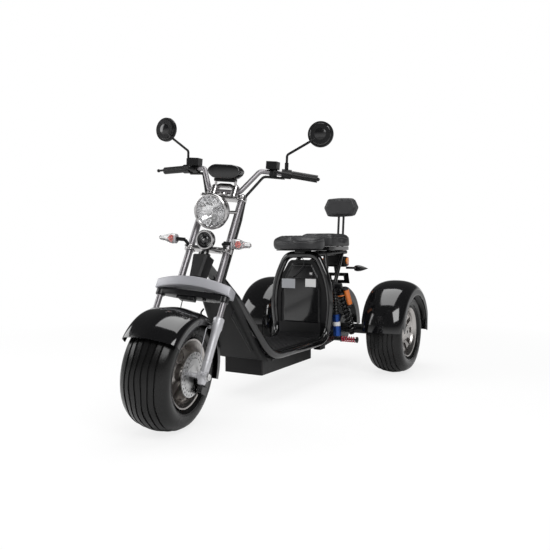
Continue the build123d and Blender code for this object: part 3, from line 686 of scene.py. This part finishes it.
def head_shroud():
    """Dark moulded shroud in front of the head tube, narrower at the bottom."""
    shape = bmesh.new()
    rings = []
    sections = ((22, -24, 30, 0), (28, -28, 34, 3), (32, -30, 34, 50), (38, -33, 34, 101), (35, -30, 30, 104))
    for x, front, back, up in sections:
        corners = [(-x, front + 8), (8 - x, front), (x - 8, front), (x, front + 8),
                   (x, back - 8), (x - 8, back), (8 - x, back), (-x, back - 8)]
        rings.append([shape.verts.new((a, b, up)) for a, b in corners])
    for low, high in zip(rings, rings[1:]):
        for k in range(8):
            shape.faces.new((low[k], low[(k + 1) % 8], high[(k + 1) % 8], high[k]))
    shape.faces.new(rings[0][::-1])
    shape.faces.new(rings[-1])
    bmesh.ops.recalc_face_normals(shape, faces=shape.faces)
    straight = Matrix.Translation(front_axle) @ Matrix.Rotation(radians(-rake), 4, "X")
    place = straight @ Matrix.Translation((0, 0, (crown_height + 44) * mm))
    cover = add("head_shroud", shape, "body_plastic", "chassis", place, 30)
    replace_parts(cover, "head_cover")


def seat_panel():
    """Panel of the seat box with a recessed pocket on top, a lock, blank labels and a lead."""
    low, wide, top = 240, 112, 622
    outline = [(-104, 262), (-96, low), (96, low), (104, 262), (wide, 300), (wide, 480), (98, 556), (60, top),
               (-60, top), (-98, 556), (-wide, 480), (-wide, 300)]
    back = slab(outline, 4, 1.5, "Y")
    pocket = [Vector((x, -3, z)) * mm for x, z in ((-99, 545), (-61, 612), (61, 612), (99, 545))]
    pocket_rim = []
    for start, end in zip(pocket, pocket[1:] + pocket[:1]):
        side = bar([start, end], 3.2, 0, 12)
        bmesh.ops.scale(side, vec=(1000, 1000, 1000), verts=side.verts)
        pocket_rim.append(side)
    door = slab([(-102, 254), (102, 254), (107, 300), (107, 480), (96, 540), (-96, 540), (-107, 480),
                 (-107, 300)], 5, 2, "Y")
    place = standing(0, arch_y - 3, 0)
    shape = joined(back, moved(door, 0, -4, 0), *pocket_rim)
    panel = add("seat_panel", shape, "gloss_plastic", "chassis", place)
    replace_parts(panel, "seat_door")
    lock = joined(moved(disc(9, 8, "Y", 2), 60, -7, 569), moved(disc(6, 3, "Y", 1), 60, -12, 569))
    add("seat_lock", lock, "chrome", "chassis", place)
    for name, w, h, x, z in (("label_grey", 42, 26, -79, 511), ("label_white", 32, 22, 58, 517)):
        label = slab([(-w, -h), (w, -h), (w, h), (-w, h)], 0.6, 0, "Y")
        add(name, moved(label, x, -7, z), name, "chassis", place)
    loop = [at(-20, arch_y - 6, 662), at(20, arch_y - 22, 650), at(22, arch_y - 20, 612),
            at(-38, arch_y - 14, 556), at(-58, arch_y - 8, 545)]
    add("seat_lead", bar(loop, 2, 22, 12), "dark_steel", "chassis")


def floor_ribs():
    """Raised ribs along the rubber floor mat."""
    ribs = [moved(box(10, 430, 3, 1), 20 * i, 845, 226.3) for i in range(-5, 6)]
    add("mat_ribs", joined(*ribs), "mat_rubber", "chassis", Matrix.Translation(at(0, 0, 0)))


def shield_ribs():
    """Bead along each side of the leg shield."""
    for side in (-1, 1):
        points = [at(side * 81, 340, 440), at(side * 81, 316, 424), at(side * 92, 470, 240)]
        add(f"shield_bead_{side + 1}", bar(points, 4, 14, 12), "body_plastic", "chassis")


def box_brackets():
    """Hangers of the battery box."""
    parts = []
    for y in (640, 780, 940):
        for side in (-1, 1):
            parts.append(moved(box(4, 18, 40, 1), side * 106, y, 196))
            parts.append(moved(disc(4, 4, "X"), side * 109, y, 184))
    add("box_brackets", joined(*parts), "dark_steel", "chassis", Matrix.Translation(at(0, 0, 0)))


# ---- rear ---------------------------------------------------------------------------------
def shocks():
    """Two shocks on each side: a blue damper with a short coil and a long coil with its tank."""
    black, springs, blue, orange, labels = [], [], [], [], []
    for side in (-1, 1):
        top_a, low_a = at(side * 150, 1252, 498), at(side * 170, 1254, 212)
        top_b, low_b = at(side * 181, 1252, 498), at(side * 200, 1388, 226)

        def along_a(start, end, radius):
            return bar([top_a.lerp(low_a, start), top_a.lerp(low_a, end)], radius, 0, 32)

        def along_b(start, end, radius, offset=Vector()):
            return bar([top_b.lerp(low_b, start) + offset, top_b.lerp(low_b, end) + offset], radius, 0, 32)

        black += [along_a(0, 1, 9), along_a(0.12, 0.15, 19.5), along_a(0.52, 0.55, 21), along_b(0, 1, 14)]
        black += [along_b(0.11, 0.15, 27), along_b(0.91, 0.94, 27), along_b(0.96, 1.02, 16)]
        black.append(bar([at(side * 136, 1252, 498), at(side * 192, 1252, 498)], 17, 0, 32))
        springs.append(coil(top_a.lerp(low_a, 0.15), top_a.lerp(low_a, 0.53), 14.5, 3.5, 7))
        springs.append(coil(top_b.lerp(low_b, 0.15), top_b.lerp(low_b, 0.91), 21.5, 4.5, 9))
        for i in range(5):
            blue.append(along_a(0.56 + 0.028 * i, 0.575 + 0.028 * i, 22))
        blue += [along_a(0.56, 0.7, 19), along_a(0.78, 0.97, 22)]
        labels.append(along_a(0.7, 0.78, 20.5))
        tank = Vector((side * 0.041, -0.015, 0))
        orange.append(along_b(0.06, 0.36, 15, tank))
        orange.append(along_b(0.155, 0.175, 27.5))
        black.append(along_b(0.36, 0.4, 15.4, tank))
        black.append(along_b(0.04, 0.06, 15.4, tank))
        black.append(bar([top_b.lerp(low_b, 0.08), top_b.lerp(low_b, 0.08) + tank], 9, 0, 24))
    bodies = add("shock_rods", joined(*black), "dark_steel", "chassis")
    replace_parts(bodies, "shock_bodies")
    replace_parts(add("shock_springs", joined(*springs), "spring_black", "chassis"), "shock_coils")
    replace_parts(add("damper_bodies", joined(*blue), "blue_anodised", "chassis"), "lower_dampers")
    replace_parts(add("gas_tanks", joined(*orange), "orange_paint", "chassis"), "shock_reservoirs")
    add("damper_labels", joined(*labels), "label_white", "chassis")


def mudguard():
    """Moulded guard over the drive motor."""
    profile = [(-100, 186), (-100, 236), (-90, 246), (90, 246), (100, 236), (100, 186),
               (97, 186), (97, 234), (88, 243), (-88, 243), (-97, 234), (-97, 186)]
    shape = bmesh.new()
    verts = [shape.verts.new((x, 0, r)) for x, r in profile]
    edges = [shape.edges.new((verts[i], verts[(i + 1) % 12])) for i in range(12)]
    bmesh.ops.rotate(shape, verts=verts, cent=(0, 0, 0), matrix=Matrix.Rotation(radians(-90), 3, "X"))
    bmesh.ops.spin(shape, geom=verts + edges, cent=(0, 0, 0), axis=(1, 0, 0), angle=radians(112), steps=40)
    rim_edges = [e for e in shape.edges if e.is_boundary]
    bmesh.ops.holes_fill(shape, edges=rim_edges)
    bmesh.ops.recalc_face_normals(shape, faces=shape.faces)
    add("motor_guard", shape, "gloss_plastic", "chassis", standing(0, rear_axle_y, axle_height))


# ---- seats --------------------------------------------------------------------------------
def seat_outline(kind, count=96):
    """Closed plan of a seat, as unit points to be scaled by its half sizes."""
    points = []
    for i in range(count):
        a = 2 * pi * i / count
        c, s = cos(a), sin(a)
        power = {"oval": 0.8, "block": 0.28}[kind]
        points.append((abs(c) ** power * (1 if c >= 0 else -1), abs(s) ** power * (1 if s >= 0 else -1)))
    return points


def padded_block(outline, layers, place):
    """Closed solid from layers of (height, width, length) around an outline."""
    shape = bmesh.new()
    rings = [[shape.verts.new((x * w, y * d, z)) for x, y in outline] for z, w, d in layers]
    for low, high in zip(rings, rings[1:]):
        for k in range(len(low)):
            shape.faces.new((low[k], low[(k + 1) % len(low)], high[(k + 1) % len(low)], high[k]))
    shape.faces.new(rings[0][::-1])
    shape.faces.new(rings[-1])
    bmesh.ops.recalc_face_normals(shape, faces=shape.faces)
    bmesh.ops.transform(shape, matrix=place @ Matrix.Scale(mm, 4), verts=shape.verts)
    return shape


def baked(piece):
    """Replace a piece's mesh with what its modifiers make of it."""
    graph = bpy.context.evaluated_depsgraph_get()
    mesh = bpy.data.meshes.new_from_object(piece.evaluated_get(graph))
    piece.modifiers.clear()
    piece.data = mesh


def stuffed(name, shape, cap, held, stop):
    """Fill a pad: remesh it, swell its cover under pressure, limit the swelling, smooth it once."""
    last_frame = 20
    piece = new_object(name, shape)
    remesh = piece.modifiers.new("remesh", "REMESH")
    remesh.mode = "VOXEL"
    remesh.voxel_size = 0.005
    baked(piece)
    rest = [v.co.copy() for v in piece.data.vertices]
    group = piece.vertex_groups.new(name="held")
    group.add([i for i, co in enumerate(rest) if held(co)], 1.0, "REPLACE")
    cloth = piece.modifiers.new("cloth", "CLOTH")
    cloth.settings.quality = 6
    cloth.settings.mass = 0.3
    cloth.settings.use_pressure = True
    cloth.settings.uniform_pressure_force = 4
    cloth.settings.vertex_group_mass = "held"
    cloth.settings.effector_weights.gravity = 0
    cloth.point_cache.frame_start = 1
    cloth.point_cache.frame_end = last_frame
    for number in range(1, last_frame + 1):
        bpy.context.scene.frame_set(number)
    baked(piece)
    bpy.context.scene.frame_set(1)
    for v, start in zip(piece.data.vertices, rest):
        shift = v.co - start
        if shift.length > cap * mm:
            shift *= cap * mm / shift.length
        v.co = stop(start + shift)
    piece.vertex_groups.clear()
    smooth = piece.modifiers.new("smooth", "SUBSURF")
    smooth.levels = smooth.render_levels = 1
    baked(piece)
    piece.data.shade_smooth()
    piece.data.materials.append(finishes["vinyl"])
    return piece


def pressed(piece, lines, width, depth):
    """Press seams into a pad along lines of points."""
    shape = bmesh.new()
    shape.from_mesh(piece.data)
    shape.normal_update()
    moves = {}
    for line in lines:
        for start, end in zip(line, line[1:]):
            along = end - start
            length = along.length
            for v in shape.verts:
                t = min(max((v.co - start).dot(along) / length ** 2, 0.0), 1.0)
                away = (v.co - start - along * t).length
                if away < width * mm:
                    push = depth * mm * (1 - (away / (width * mm)) ** 2) ** 2
                    moves[v.index] = max(moves.get(v.index, 0.0), push)
    normals = {v.index: v.normal.copy() for v in shape.verts}
    for v in shape.verts:
        if v.index in moves:
            v.co -= normals[v.index] * moves[v.index]
    shape.to_mesh(piece.data)
    shape.free()


def snapped(piece, points):
    """Points moved onto the surface of a pad."""
    tree = BVHTree.FromObject(piece, bpy.context.evaluated_depsgraph_get())
    return [tree.find_nearest(point)[0] for point in points]


def piping(name, piece, points, radius=2.4):
    """Corded edge laid on a pad along a closed line of points."""
    line = snapped(piece, points)
    line.append(line[0])
    add(name, bar(line, radius, 0, 10), "piping", "chassis", sharp=80)


def seat_rails():
    """Rails under the seats, their stays to the hoop, and the cross tube that carries the shocks."""
    parts = [bar([at(-194, 1252, 498), at(194, 1252, 498)], 13)]
    parts.append(bar([at(-72, 1500, 678), at(72, 1500, 678)], 9))
    for side in (-1, 1):
        foot = at(side * 150, 1252, 498)
        parts.append(bar([at(side * 66, arch_y, 668), at(side * 74, 1590, 681)], 11))
        parts.append(bar([at(side * 70, 1300, 672), at(side * 150, 1162, 520)], 11))
        parts.append(bar([at(side * 73, 1540, 679), foot], 11))
        parts.append(bar([foot, at(side * 160, arch_y, 480)], 11))
    pad_foot = box(60, 90, 14, 3)
    foot_place = Matrix.Translation(at(0, 1165, 687)) @ Matrix.Scale(mm, 4)
    bmesh.ops.transform(pad_foot, matrix=foot_place, verts=pad_foot.verts)
    parts.append(pad_foot)
    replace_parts(add("seat_rails", joined(*parts), "frame_black", "chassis"), "rear_subframe")


def tail_lamp():
    """Lamp housing with its red lens, orange side reflectors and dark indicator cones."""
    middle = Matrix.Translation(at(0, 1612, 622))
    housing = joined(box(146, 50, 64, 14), moved(box(120, 7, 72, 2), 0, -28.5, 33))
    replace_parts(add("lamp_housing", housing, "body_plastic", "chassis", middle), "tail_lamp")
    red = moved(box(138, 22, 56, 9), 0, 36, 0)
    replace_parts(add("lamp_red", red, "red_lens", "chassis", middle), "tail_lens")
    cone = [(0, 0), (0, 15), (8, 18), (18, 19), (38, 17), (58, 11), (76, 4), (86, 0)]
    cones, discs = [], []
    for side in (-1, 1):
        discs.append(moved(disc(20, 9, "X", 3), side * 77.5, -6, 6))
        cones.append(moved(disc(7, 60, "X"), side * 90, 20, -38))
        cones.append(moved(spun([(side * a, r) for a, r in cone], "X", 48), side * 116, 24, -40))
    reflectors = add("lamp_reflectors", joined(*discs), "orange_lens", "chassis", middle)
    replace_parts(reflectors, "side_reflectors")
    indicators = add("rear_indicator_cones", joined(*cones), "gloss_plastic", "chassis", middle)
    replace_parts(indicators, "rear_indicators")


def plate_bracket():
    """Small bent bracket with one slot, hung under the tail lamp."""
    parts = [moved(box(150, 3, 22, 1), 0, 0, 24), moved(box(150, 3, 22, 1), 0, 0, -24)]
    parts += [moved(box(34, 3, 70, 1), x, 0, 0) for x in (-58, 58)]
    parts.append(moved(box(30, 3, 60, 1), 0, 0, 58))
    parts += [moved(disc(5, 6, "Y"), x, -3, 24) for x in (50, -50)]
    bracket = add("plate_carrier", joined(*parts), "frame_black", "chassis", standing(0, 1640, 520, 20))
    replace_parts(bracket, "plate_bracket")


def seats():
    """Saddle with a raked nose and quilted top, and the boxy rear seat, each on its pan."""
    saddle_place = at(0, 1112, 0)
    layers = [(701, 130, 84), (706, 138, 91), (722, 143, 95), (750, 143, 95), (763, 136, 90),
              (771, 118, 76), (774, 96, 60)]
    shape = padded_block(seat_outline("oval"), layers, Matrix.Translation(saddle_place))
    for v in shape.verts:
        t = min(max((at(0, 1110, 0).y - v.co.y) / 0.09, 0.0), 1.0)
        high = (v.co.z - at(0, 0, 720).z) / 0.05
        if high > 0:
            v.co.z -= 0.014 * t * min(high, 1.0)
    top_limit, low_limit = at(0, 0, 776).z, at(0, 0, 700.8).z

    def within(co):
        return Vector((co.x, max(co.y, at(0, 1016, 0).y), min(max(co.z, low_limit), top_limit)))

    saddle = stuffed("saddle_pad", shape, 9, lambda co: co.z < at(0, 0, 704).z, within)
    streaks = []
    for i in range(-4, 5):
        for lean in (-1, 1):
            line = [at(26 * i + lean * 26 * k, 1062 + 30 * k, 780) for k in range(5)]
            line = [p for p in line if abs(p.x) < 0.11]
            if len(line) > 1:
                streaks.append(snapped(saddle, line))
    pressed(saddle, streaks, 7, 2.0)
    ring = [at(141 * x, 1112 + 94 * y, 752 - 14 * max(0.0, -y)) for x, y in seat_outline("oval", 64)]
    pressed(saddle, [snapped(saddle, ring + ring[:1])], 8, 2.2)
    piping("saddle_piping", saddle, ring)
    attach(saddle, "chassis")
    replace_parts(saddle, "saddle")
    pan = [(694.2, 124, 82), (695, 127, 85), (699, 127, 85), (700, 125, 83)]
    plate = padded_block(seat_outline("oval"), pan, Matrix.Translation(saddle_place))
    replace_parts(add("saddle_base", plate, "body_plastic", "chassis"), "saddle_plate")

    rear_place = at(0, 1450, 0)
    layers = [(717, 108, 132), (722, 113, 137), (764, 113, 137), (778, 106, 130), (785, 96, 121)]
    shape = padded_block(seat_outline("block"), layers, Matrix.Translation(rear_place))
    top_rear = at(0, 0, 791).z

    def inside(co):
        return Vector((co.x, co.y, min(max(co.z, at(0, 0, 716.5).z), top_rear)))

    rear = stuffed("rear_seat_pad", shape, 7, lambda co: co.z < at(0, 0, 720).z, inside)
    ring = [at(116 * x, 1450 + 140 * y, 772) for x, y in seat_outline("block", 96)]
    pressed(rear, [snapped(rear, ring + ring[:1])], 7, 1.6)
    piping("rear_seat_piping", rear, ring)
    cross = [snapped(rear, [at(x, y, 795) for x in range(-90, 91, 30)]) for y in (1390, 1450, 1510)]
    pressed(rear, cross, 9, 2.2)
    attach(rear, "chassis")
    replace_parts(rear, "rear_seat")
    tray = [(692.5, 104, 128), (696, 110, 134), (714, 110, 134), (715.6, 107, 131)]
    base = padded_block(seat_outline("block"), tray, Matrix.Translation(rear_place))
    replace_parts(add("rear_seat_tray", base, "gloss_plastic", "chassis"), "rear_seat_base")


def backrest():
    """Two padded layers of one six-sided cushion."""
    def six_sided():
        corners = [(-1, 0), (-0.76, 1), (0.76, 1), (1, 0), (0.76, -1), (-0.76, -1)]
        points = []
        for i, (x, y) in enumerate(corners):
            before, after = Vector(corners[i - 1]), Vector(corners[(i + 1) % 6])
            here = Vector((x, y))
            start, end = here.lerp(before, 0.11), here.lerp(after, 0.11)
            for k in range(5):
                t = k / 4
                p = start * (1 - t) ** 2 + here * 2 * t * (1 - t) + end * t ** 2
                points.append((p.x, p.y))
        return points

    turn = Matrix.Rotation(radians(90), 4, "X")
    centre_height, swell = 957, 1.8
    for name, y, w, h, depth in (("backrest_front", 1681, 110, 56, 20), ("backrest_rear", 1718, 104, 52, 13)):
        layers = [(-depth, w - 10, h - 10), (3 - depth, w - 3, h - 3), (8 - depth, w, h), (depth - 10, w, h),
                  (depth - 3, w - 4, h - 4), (depth, w - 12, h - 12)]
        middle = at(0, y, centre_height)
        shape = padded_block(six_sided(), layers, Matrix.Translation(middle) @ turn)

        def kept(co, middle=middle, reach=(depth + swell) * mm):
            return Vector((co.x, min(max(co.y, middle.y - reach), middle.y + reach), co.z))

        pad = stuffed(name, shape, 3, lambda co, m=middle: (co - m).length < 0.02, kept)
        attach(pad, "chassis")
        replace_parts(pad, "backrest_pad")
        ring = [at(x * (w + 2), y - depth + 7, centre_height + z * (h + 2)) for x, z in six_sided()]
        pressed(pad, [snapped(pad, ring + ring[:1])], 6, 1.4)
        piping(name + "_piping", pad, ring, 2.2)


# ---- assembly -----------------------------------------------------------------------------
bpy.context.scene.view_settings.view_transform = "Standard"
place_camera()
studio_world()
pale_floor()
soft_lamp("key", (2.6, -2.4, 3.2), (0, 0, 0.5), 2.2, 2.2, 95)
soft_lamp("fill", (-3.2, -1.6, 2.2), (0, 0, 0.5), 2.4, 1.8, 50)
soft_lamp("top", (0, 0.4, 3.6), (0, 0.2, 0), 2.0, 3.0, 60)
dress_cad_nodes()

tyre("front_tread", fork_frame, "front_wheel", "front_tyre")
for side, axle in rear_axles.items():
    tyre(f"rear_{side}_tread", Matrix.Translation(axle), f"rear_wheel_{side}", f"rear_{side}_tyre")
front_wheel()
fork()
crown()
clamps_and_tubes()
headlight()
horn()
mirror_backs()
indicator_bulbs()
display()
looms()
frame_tubes()
head_shroud()
seat_panel()
floor_ribs()
shield_ribs()
box_brackets()
shocks()
mudguard()
seat_rails()
tail_lamp()
plate_bracket()
seats()
backrest()
